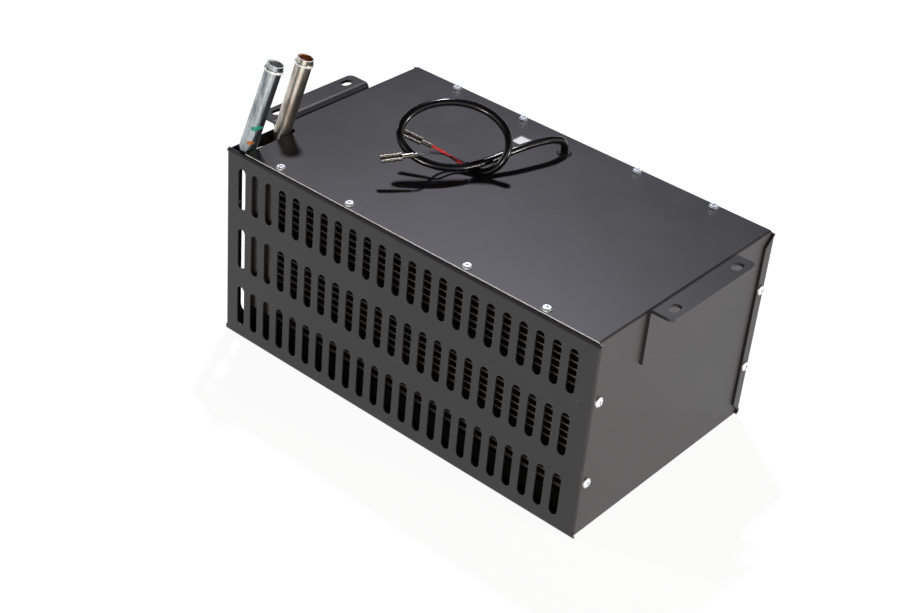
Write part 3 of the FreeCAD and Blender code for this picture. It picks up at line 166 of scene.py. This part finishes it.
# Case sheets and brackets
casePaint = {"dark": "#1c1c1e", "light": "#222224", "gloss": 0.46, "shine": 0.5}
edgeHighlightZone = {"y": caseLow[1] + 0.0001, "z": topFace - 0.0009}  # in front of y and above z the coat is painted near white as a highlight
blackPowderCoat = powderCoat("powder coat satin black", **casePaint)
dress(blackPowderCoat, "lower_case", "left_bracket", "right_bracket")
edgeHighlightPowderCoat = powderCoat("powder coat satin black, painted edge highlight", edge=edgeHighlightZone, **casePaint)
dress(edgeHighlightPowderCoat, "upper_case")
innerPaintAndShade = powderCoat("matt black stove paint, darkened as painted shade", "#050505", "#080808", 0.85, 0.03)  # black paint, pushed near zero as painted shade inside the case
dress(innerPaintAndShade, "air_partition", "core_shelf", "motor_cradle", "motor_straps")

# Fasteners
brightZinc = bareMetal("bright zinc plated steel", "#eff1f3", "#c4c8cc", 0.38, 0.8)  # cold and bright
dress(brightZinc, "top_screws", "end_screws", "scroll_screws", "strap_screws")

# Hose pipes: the front one is tinned and carries two paint dabs, the rear one is dull brass
# Streaks and stains are turned into the pipes' lean and drawn out along it
drawing = {"turn": (math.radians(-12), math.radians(9), 0.0), "streak": 0.06, "stain": 0.22}
pipeEnd = {"bore": 0.0072, "bead": 0.0084, "rim": 0.0003}  # radii of bore and bead crest, depth of the rim
# Each pipe's centre line goes through one point of the top's height, the way it leans
frontPipe = {
    "node": "inlet_pipe", "through": (-0.1992, -0.1139, 0.2), "lean": (0.17, 0.234, 1),
    "colour": "#adb5b6", "stain": "#56646a", "bore": "#bec6c0", "gloss": 0.15,
    "dabs": [{"centre": (-0.1897, -0.1135, 0.222), "size": (0.0056, 0.008, 0.0027), "colour": "#1f9d83"},
             {"centre": (-0.1920, -0.1178, 0.2075), "size": (0.0040, 0.006, 0.0021), "colour": "#c9772f"}]}
rearPipe = {
    "node": "outlet_pipe", "through": (-0.1992, -0.0705, 0.2), "lean": (0.17, 0.192, 1),
    "colour": "#c4bfb4", "stain": "#8e8378", "bore": "#bd8a63", "gloss": 0.2, "dabs": []}


# Drawn tube: streaks and stains along it, a dull bore, painted highlights on bead and rim, paint dabs from
# inspection
def drawnPipe(name, pipe):
    material, tree, shader, place = newMaterial(name)
    through = Vector(pipe["through"])
    way = Vector(pipe["lean"]).normalized()
    tip = max((vertex.co - through).dot(way) for vertex in nodes[pipe["node"]].data.vertices)

    along = addNode(tree, "ShaderNodeMapping",
                    {"Rotation": drawing["turn"], "Scale": (1.0, 1.0, drawing["streak"])}, {"Vector": place})
    streaks = addNode(tree, "ShaderNodeTexNoise",
                      {"Scale": perMillimetre / 1.6, "Detail": 3.0, "Roughness": 0.6},
                      {"Vector": along.outputs["Vector"]})
    drawn = addNode(tree, "ShaderNodeMapping",
                    {"Rotation": drawing["turn"], "Scale": (1.0, 1.0, drawing["stain"])}, {"Vector": place})
    stains = addNode(tree, "ShaderNodeTexNoise",
                     {"Scale": perMillimetre / 9, "Detail": 4.0, "Roughness": 0.6},
                     {"Vector": drawn.outputs["Vector"]})
    base = addNode(tree, "ShaderNodeValToRGB", links={"Fac": stains.outputs["Fac"]},
                   stops=[(0.36, pipe["stain"]), (0.6, pipe["colour"])])
    lines = addNode(tree, "ShaderNodeValToRGB", links={"Fac": streaks.outputs["Fac"]},
                    stops=[(0.35, "#6f6f6f"), (0.65, "#c8c8c8")])
    streaked = addNode(tree, "ShaderNodeMixRGB", {"Fac": 0.35},
                       {"Color1": base.outputs["Color"], "Color2": lines.outputs["Color"]},
                       blend_type="OVERLAY")

    # Height along the pipe and distance from its centre line tell bore, bead and rim
    out = addNode(tree, "ShaderNodeVectorMath", {1: through}, {0: place}, operation="SUBTRACT")
    up = addNode(tree, "ShaderNodeVectorMath", {1: way}, {0: out.outputs["Vector"]}, operation="DOT_PRODUCT")
    middle = addNode(tree, "ShaderNodeVectorMath", {0: way}, {"Scale": up.outputs["Value"]},
                     operation="SCALE")
    off = addNode(tree, "ShaderNodeVectorMath", links={0: out.outputs["Vector"], 1: middle.outputs["Vector"]},
                  operation="DISTANCE")
    within = addNode(tree, "ShaderNodeMath", {1: pipeEnd["bore"]}, {0: off.outputs["Value"]},
                     operation="LESS_THAN")
    inner = addNode(tree, "ShaderNodeMixRGB", {"Color2": linear(pipe["bore"])},
                    {"Fac": within.outputs["Value"], "Color1": streaked.outputs["Color"]})
    atRim = addNode(tree, "ShaderNodeMath", {1: tip - pipeEnd["rim"]}, {0: up.outputs["Value"]},
                    operation="GREATER_THAN")
    onBead = addNode(tree, "ShaderNodeMath", {1: pipeEnd["bead"]}, {0: off.outputs["Value"]},
                     operation="GREATER_THAN")
    paintedHighlight = addNode(tree, "ShaderNodeMath", links={0: atRim.outputs["Value"], 1: onBead.outputs["Value"]},
                     operation="MAXIMUM")
    # Rim and bead crest near white and less metallic: a painted highlight
    colour = addNode(tree, "ShaderNodeMixRGB", {"Color2": linear("#f2f3f2")},
                     {"Fac": paintedHighlight.outputs["Value"], "Color1": inner.outputs["Color"]})
    dullBore = addNode(tree, "ShaderNodeMath", {1: -0.75, 2: 1.0}, {0: within.outputs["Value"]},
                       operation="MULTIPLY_ADD")
    softRim = addNode(tree, "ShaderNodeMath", {1: -0.6, 2: 1.0}, {0: paintedHighlight.outputs["Value"]},
                      operation="MULTIPLY_ADD")
    metal = addNode(tree, "ShaderNodeMath", links={0: dullBore.outputs["Value"], 1: softRim.outputs["Value"]},
                    operation="MULTIPLY")

    smears = addNode(tree, "ShaderNodeTexNoise",
                     {"Scale": perMillimetre / 3.5, "Detail": 2.0, "Roughness": 0.6}, {"Vector": place})
    for dab in pipe["dabs"]:  # each dab is a ragged spot round its centre
        away = addNode(tree, "ShaderNodeVectorMath", {1: dab["centre"]}, {0: place}, operation="SUBTRACT")
        squeezed = addNode(tree, "ShaderNodeVectorMath", {1: tuple(1 / s for s in dab["size"])},
                           {0: away.outputs["Vector"]}, operation="MULTIPLY")
        far = addNode(tree, "ShaderNodeVectorMath", links={0: squeezed.outputs["Vector"]},
                      operation="LENGTH")
        ragged = addNode(tree, "ShaderNodeMath", {1: 1.9},
                         {0: smears.outputs["Fac"], 2: far.outputs["Value"]}, operation="MULTIPLY_ADD")
        spot = addNode(tree, "ShaderNodeMapRange", {"From Min": 1.95, "From Max": 1.65},
                       {"Value": ragged.outputs["Value"]})
        colour = addNode(tree, "ShaderNodeMixRGB", {"Color2": linear(dab["colour"])},
                         {"Fac": spot.outputs["Result"], "Color1": colour.outputs["Color"]})
        bare = addNode(tree, "ShaderNodeMath", {0: 1.0}, {1: spot.outputs["Result"]}, operation="SUBTRACT")
        metal = addNode(tree, "ShaderNodeMath", links={0: metal.outputs["Value"], 1: bare.outputs["Value"]},
                        operation="MULTIPLY")

    rough = addNode(tree, "ShaderNodeMapRange",
                    {"From Min": 0.3, "From Max": 0.7,
                     "To Min": pipe["gloss"] + 0.2, "To Max": pipe["gloss"]},
                    {"Value": stains.outputs["Fac"]})
    bump = addNode(tree, "ShaderNodeBump", {"Strength": 0.07, "Distance": 0.0001},
                   {"Height": streaks.outputs["Fac"]})
    feedShader(tree, shader, colour, rough, bump)
    tree.links.new(metal.outputs["Value"], shader.inputs["Metallic"])
    return material


tinnedPipe = drawnPipe("tinned drawn tube", frontPipe)
brassPipe = drawnPipe("tinned brass tube, browned", rearPipe)
dress(tinnedPipe, frontPipe["node"])
dress(brassPipe, rearPipe["node"])

# Heater core
dullTin = bareMetal("dull tinned brass", "#5c5a58", "#494846", 0.36, 16)  # soft grey, cloudy
tubeTin = bareMetal("tinned flat tube", "#6e6e6e", "#4c4c4d", 0.42, 6)  # level grey lines behind the slots
dress(dullTin, "left_tank", "right_tank", "left_tube_plate", "right_tube_plate")
dress(tubeTin, "core_tubes", "top_side_plate", "bottom_side_plate")
darkCopper = bareMetal("rolled copper foil, darkened", "#241f1c", "#141110", 0.55, 5)  # brown black
dress(darkCopper, "core_fins")
foam = moulded("closed-cell neoprene foam", "#141414", "#0b0b0b", 0.85, 1.2, 0.5)  # matt, finely pitted
dress(foam, "core_top_seal", "core_bottom_seal")

# Blower and motor
blackPolyamide = moulded("moulded black polyamide", "#1a1a1b", "#121213", 0.5, 0.9, 0.25)  # half matt
dress(blackPolyamide, "left_scroll", "right_scroll", "left_impeller", "right_impeller", "brush_plate")
pressedSteel = bareMetal("zinc plated pressing", "#b4b6ba", "#85878b", 0.3, 7)  # grey with a soft sheen
dress(pressedSteel, "motor_can", "motor_left_cap", "motor_right_cap")
groundSteel = bareMetal("ground steel", "#c2c3c5", "#9a9b9d", 0.22, 1.5)  # clear, narrow highlights
dress(groundSteel, "motor_shaft", "armature")
sinteredBronze = bareMetal("sintered bronze", "#a9784a", "#7a5533", 0.42, 0.7)  # yellow brown, grainy
dress(sinteredBronze, "left_bearing", "right_bearing")
turnedCopper = bareMetal("turned copper", "#c98a62", "#9b6446", 0.3, 2)  # reddish sheen
dress(turnedCopper, "commutator")
ferrite = moulded("sintered ferrite", "#2a2a2c", "#1d1d1f", 0.55, 0.8, 0.3)  # dark grey, stony
dress(ferrite, "field_magnets")
carbon = moulded("pressed carbon", "#1c1c1d", "#111112", 0.5, 0.6, 0.3)  # soft black
dress(carbon, "brushes")
blackRubber = moulded("moulded black rubber", "#121212", "#0b0b0b", 0.55, 0.8, 0.35)  # matt black
dress(blackRubber, "cable_grommet", "motor_rubber_rings")

# Cables and terminals
sheathPlastic = moulded("extruded black sheath", "#0a0a0b", "#070707", 0.2, 2.5, 0.015, shine=0.35)  # sleek
dress(sheathPlastic, "inner_cable")
terminalTin = bareMetal("tinned brass terminal", "#989287", "#665f54", 0.22, 3)  # dull warm silver
dress(terminalTin, "red_terminal", "black_terminal")
redInsulation = moulded("extruded red insulation", "#cb272b", "#b01e23", 0.3, 1.5, 0.04)  # clear red
blackInsulationGreyedAsHighlight = moulded("extruded black insulation, greyed as painted highlight", "#55585d", "#404246", 0.16, 1.5, 0.04)  # black insulation painted mid grey as its highlight, shiny
print("materials assigned")


# Supply cable: up and forwards from its grommet, one upright loop, the end tucked under itself
# The steps of every cord are in millimetres from the grommet
cableExit = Vector((0.0005, 0.096, 0.200))
supply = {"radius": 0.0036, "steps": [
    (0, 0, 2), (0, 0, 12.5), (-3.1, -16, 19), (-8.1, -32.5, 19.5), (-13, -51.5, 18.5), (-18.4, -67.3, 15.5),
    (-22.9, -81.2, 13), (-27.4, -96.6, 11.5), (-33.7, -113.9, 12), (-45.3, -130.6, 15.5), (-62, -141.7, 22),
    (-74.4, -144.8, 32), (-81.2, -140.2, 42.5), (-81.4, -129.1, 52), (-74.1, -113.5, 59.5),
    (-61.5, -95.9, 62), (-46.7, -80, 58.5), (-31.1, -70.4, 51), (-16.1, -68.9, 41), (-8.1, -73.9, 31),
    (-7.4, -80.5, 20), (-13.1, -86.1, 9.5), (-21.6, -92, 4.2), (-32, -93, 3.8), (-39.5, -95.5, 6.4)]}

# Leads: side by side out of the sheath, straight at first, each to its terminal
leadStart = {"spread": 0.0017, "straight": 0.006}
redLead = {"radius": 0.0014, "side": -1, "steps": [
    (-47.9, -101.9, 11.7), (-51.5, -108, 16.9), (-53.9, -114.9, 22.7), (-61.2, -117.7, 24.5)]}
blackLead = {"radius": 0.0014, "side": 1, "steps": [
    (-50.7, -99.7, 10.8), (-56.2, -104.8, 14.4), (-58.3, -113.6, 17.6), (-57, -126.3, 22.9),
    (-52.1, -137.7, 28.2), (-58.4, -146, 27.1)]}
cordMesh = {"round": 8, "along": 24, "order": 3}


def layCord(name, node, points, radius, material):  # a round cord on one smooth curve
    curve = bpy.data.curves.new(name, "CURVE")
    curve.dimensions = "3D"
    curve.bevel_depth = radius
    curve.bevel_resolution = cordMesh["round"]
    curve.resolution_u = cordMesh["along"]
    curve.use_fill_caps = True
    spline = curve.splines.new("NURBS")
    spline.points.add(len(points) - 1)
    for spot, point in zip(spline.points, points):
        spot.co = (*point, 1.0)
    spline.order_u = cordMesh["order"]
    spline.use_endpoint_u = True
    curve.materials.append(material)
    cordPiece = bpy.data.objects.new(name, curve)
    scene.collection.objects.link(cordPiece)
    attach(cordPiece, "heater")
    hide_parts(node)
    return cordPiece


def fromExit(step):  # millimetres to metres
    return cableExit + Vector(step) / 1000


supplyPoints = [fromExit(s) for s in supply["steps"]]
sheathEnd = supplyPoints[-1]
sheathWay = (supplyPoints[-1] - supplyPoints[-2]).normalized()
sheathSide = sheathWay.cross(Vector((0, 0, 1))).normalized() * leadStart["spread"]


def leadPoints(lead):
    start = sheathEnd + sheathSide * lead["side"]
    return [start, start + sheathWay * leadStart["straight"]] + [fromExit(s) for s in lead["steps"]]


redPoints = leadPoints(redLead)
blackPoints = leadPoints(blackLead)
supplyCable = layCord("cable_sheath", "supply_cable", supplyPoints, supply["radius"],
                      sheathPlastic)
redWire = layCord("red_lead", "red_wire", redPoints, redLead["radius"], redInsulation)
blackWire = layCord("black_lead", "black_wire", blackPoints, blackLead["radius"],
                    blackInsulationGreyedAsHighlight)
print("cords laid")


# Folded fin ribbons between the flat tubes: one fold, repeated along a ribbon and then up the core
fins = {"fold": 0.0027, "foil": 0.00016, "pitch": 0.007, "height": 0.0052, "join": 1e-6}
finLow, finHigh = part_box("core_fins")
foldCount = int((finHigh[0] - finLow[0]) / fins["fold"])
foldLength = (finHigh[0] - finLow[0]) / foldCount
ribbonCount = round((finHigh[2] - finLow[2] - fins["height"]) / fins["pitch"]) + 1
foldMiddle = finLow[0] + foldLength / 2


def repeatPiece(piece, name, count, offset):
    modifier = piece.modifiers.new(name, "ARRAY")
    modifier.count = count
    modifier.use_relative_offset = False
    modifier.use_constant_offset = True
    modifier.constant_offset_displace = offset
    return modifier


bpy.ops.object.select_all(action="DESELECT")
bpy.ops.mesh.primitive_plane_add(size=1.0, location=(0, 0, 0))
ribbon = bpy.context.object
ribbon.name = "fin_ribbons"
bpy.ops.object.mode_set(mode="EDIT")
bpy.ops.mesh.select_all(action="SELECT")
bpy.ops.transform.resize(value=(foldLength, finHigh[1] - finLow[1], 1.0))
bpy.ops.transform.translate(value=(foldMiddle, (finLow[1] + finHigh[1]) / 2, finLow[2]))
bpy.ops.mesh.subdivide(number_cuts=1)
bpy.ops.mesh.select_all(action="DESELECT")
bpy.ops.object.mode_set(mode="OBJECT")
for vertex in ribbon.data.vertices:  # the fold's ridge
    vertex.select = abs(vertex.co.x - foldMiddle) < fins["join"]
bpy.ops.object.mode_set(mode="EDIT")
bpy.ops.mesh.select_mode(type="VERT")
bpy.ops.transform.translate(value=(0, 0, fins["height"]))
bpy.ops.object.mode_set(mode="OBJECT")
folds = repeatPiece(ribbon, "folds", foldCount, (foldLength, 0, 0))
folds.use_merge_vertices = True
folds.merge_threshold = fins["join"]
foil = ribbon.modifiers.new("foil", "SOLIDIFY")
foil.thickness = fins["foil"]
foil.offset = 0
repeatPiece(ribbon, "ribbons", ribbonCount, (0, 0, fins["pitch"]))
for modifier in list(ribbon.modifiers):
    bpy.ops.object.modifier_apply(modifier=modifier.name)
ribbon.data.materials.append(darkCopper)
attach(ribbon, "heater")
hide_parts("core_fins")
print("fins folded:", len(ribbon.data.polygons), "faces")


# Small blank paper label on the top, with rounded corners
label = {"centre": (-0.037, 0.0835), "size": (0.020, 0.015), "thick": 0.00012, "corner": 0.0012, "cuts": 4}
bpy.ops.object.select_all(action="DESELECT")
bpy.ops.mesh.primitive_cube_add(size=1.0, location=(0, 0, 0))
sticker = bpy.context.object
sticker.name = "blank_label"
bpy.ops.object.mode_set(mode="EDIT")
bpy.ops.mesh.select_all(action="SELECT")
bpy.ops.transform.resize(value=(*label["size"], label["thick"]))
bpy.ops.transform.translate(value=(*label["centre"], topFace + label["thick"] / 2))
bpy.ops.mesh.select_all(action="DESELECT")
bpy.ops.object.mode_set(mode="OBJECT")
for edge in sticker.data.edges:  # the four upright edges
    one, other = (sticker.data.vertices[i].co for i in edge.vertices)
    edge.select = abs(one.z - other.z) > label["thick"] / 2
bpy.ops.object.mode_set(mode="EDIT")
bpy.ops.mesh.select_mode(type="EDGE")
bpy.ops.mesh.bevel(offset=label["corner"], segments=label["cuts"], affect="EDGES")
bpy.ops.object.mode_set(mode="OBJECT")
paper = moulded("coated white paper", "#e9e9e6", "#dcdcd8", 0.5, 0.8, 0.1)  # smooth white, hardly shiny
sticker.data.materials.append(paper)
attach(sticker, "heater")
print("label placed")


def seenByCamera(tree):  # 1 for what the camera sees, mirrored or through glass too, and 0 for what lights
    path = addNode(tree, "ShaderNodeLightPath").outputs
    mirrored = addNode(tree, "ShaderNodeMath", links={0: path["Is Camera Ray"], 1: path["Is Glossy Ray"]},
                       operation="MAXIMUM")
    through = addNode(tree, "ShaderNodeMath",
                      links={0: mirrored.outputs["Value"], 1: path["Is Transmission Ray"]},
                      operation="MAXIMUM")
    return through.outputs["Value"]


# Floor: pale, and white to the eye and in reflections, with the shadow of the heater kept
sweep = {"size": 12.0, "drop": 0.0002, "colour": "#7c7c7c"}
sweepGlow = {"From Min": 0.5, "From Max": 1.2, "To Min": 0.93, "To Max": 1.0}  # full white from 1.2 m away


def floorMaterial():
    material = bpy.data.materials.new("white studio sweep")
    material.use_nodes = True
    tree = material.node_tree
    tree.nodes.clear()
    place = addNode(tree, "ShaderNodeTexCoord").outputs["Object"]
    away = addNode(tree, "ShaderNodeVectorMath", links={0: place}, operation="LENGTH")
    level = addNode(tree, "ShaderNodeMapRange", sweepGlow, {"Value": away.outputs["Value"]})
    glow = addNode(tree, "ShaderNodeMath", links={0: seenByCamera(tree), 1: level.outputs["Result"]},
                   operation="MULTIPLY")
    white = addNode(tree, "ShaderNodeEmission", {"Color": linear("#ffffff")},
                    {"Strength": glow.outputs["Value"]})
    matte = addNode(tree, "ShaderNodeBsdfDiffuse", {"Color": linear(sweep["colour"])})
    both = addNode(tree, "ShaderNodeAddShader",
                   links={0: white.outputs["Emission"], 1: matte.outputs["BSDF"]})
    addNode(tree, "ShaderNodeOutputMaterial", links={"Surface": both.outputs["Shader"]})
    return material


bpy.ops.object.select_all(action="DESELECT")
bpy.ops.mesh.primitive_plane_add(size=sweep["size"], location=(0, 0, -sweep["drop"]))
floor = bpy.context.object
floor.name = "studio_floor"
floor.data.materials.append(floorMaterial())


def aimed(place, aim, front):  # stands at a place with its front turned to another
    way = (Vector(aim) - Vector(place)).normalized()
    return Matrix.Translation(place) @ way.to_track_quat(front, "Y").to_matrix().to_4x4()


# Black cards behind, above and in front, out of sight, that keep the paint dark where it would mirror white
cards = {
    "black_card_back": {"place": (-1.15, 1.48, 1.35), "size": 7.5},
    "black_card_over": {"place": (0.3, -0.4, 3.0), "size": 6.0},
    "black_card_front": {"place": (-1.7, -2.4, 1.9), "size": 5.0}}
heaterTop = (0, 0, 0.2)
blackFelt = moulded("black felt", "#050505", "#030303", 0.9, 2, 0.2)  # swallows light

for name, card in cards.items():
    bpy.ops.object.select_all(action="DESELECT")
    bpy.ops.mesh.primitive_plane_add(size=card["size"], location=(0, 0, 0))
    felt = bpy.context.object
    felt.name = name
    felt.matrix_world = aimed(card["place"], heaterTop, "Z")
    felt.visible_camera = False
    felt.visible_shadow = False
    felt.data.materials.append(blackFelt)
print("floor and cards set")


# World: white where it is seen, a low even fill where it lights
studioAir = {"To Min": 0.08, "To Max": 1.0}


def lightWorld():
    world = bpy.data.worlds.new("studio")
    scene.world = world
    world.use_nodes = True
    tree = world.node_tree
    tree.nodes.clear()
    strength = addNode(tree, "ShaderNodeMapRange", studioAir, {"Value": seenByCamera(tree)})
    sky = addNode(tree, "ShaderNodeBackground", {"Color": linear("#ffffff")},
                  {"Strength": strength.outputs["Result"]})
    addNode(tree, "ShaderNodeOutputWorld", links={"Surface": sky.outputs["Background"]})


lightWorld()

# Soft boxes: the key high at the back left, one from the left on the pipes, low ones from the right and front
heaterMiddle = (0, 0, 0.1)
softBoxes = {
    "key_box": {"place": (-0.645, 0.716, 1.837), "aim": heaterTop, "size": 0.16, "power": 38,
                "tint": "#f3f2ff"},
    "left_box": {"place": (-2.0, -1.0, 0.9), "aim": (-0.19, -0.1, 0.25), "size": 0.4, "power": 9,
                 "tint": "#ffffff"},
    "right_box": {"place": (1.9, 0.3, 0.1), "aim": heaterMiddle, "size": 0.3, "power": 40,
                  "tint": "#fff4ea"},
    "front_box": {"place": (1.15, -1.75, 0.1), "aim": heaterMiddle, "size": 0.3, "power": 28,
                  "tint": "#fff1e6"}}

for name, box in softBoxes.items():
    lamp = bpy.data.lights.new(name, "AREA")
    lamp.color = linear(box["tint"])[:3]
    lamp.shape = "DISK"
    lamp.size = box["size"]
    lamp.energy = box["power"]
    lampHolder = bpy.data.objects.new(name, lamp)
    lampHolder.visible_camera = False
    lampHolder.matrix_world = aimed(box["place"], box["aim"], "-Z")
    scene.collection.objects.link(lampHolder)

# Camera at the photograph's viewing angle, angles in degrees and lens in millimetres
view = {"place": (0.8074, -1.0783, 0.9683), "yaw": 37.804, "pitch": 33.694, "roll": 5.4326,
        "lens": 68.24, "sensor": 36.0, "reach": 50.0}
yaw, pitch, roll = (math.radians(view[k]) for k in ("yaw", "pitch", "roll"))
forward = Vector((-math.sin(yaw) * math.cos(pitch), math.cos(yaw) * math.cos(pitch), -math.sin(pitch)))
level = forward.cross(Vector((0, 0, 1))).normalized()
upright = level.cross(forward)
across = level * math.cos(roll) + upright * math.sin(roll)
upward = upright * math.cos(roll) - level * math.sin(roll)
lens = bpy.data.cameras.new("camera")
lens.lens = view["lens"]
lens.sensor_width = view["sensor"]
lens.clip_end = view["reach"]
cameraHolder = bpy.data.objects.new("camera", lens)
turn = Matrix((across, upward, -forward)).transposed().to_4x4()
cameraHolder.matrix_world = Matrix.Translation(view["place"]) @ turn
scene.collection.objects.link(cameraHolder)
scene.camera = cameraHolder
print("camera and lights set")
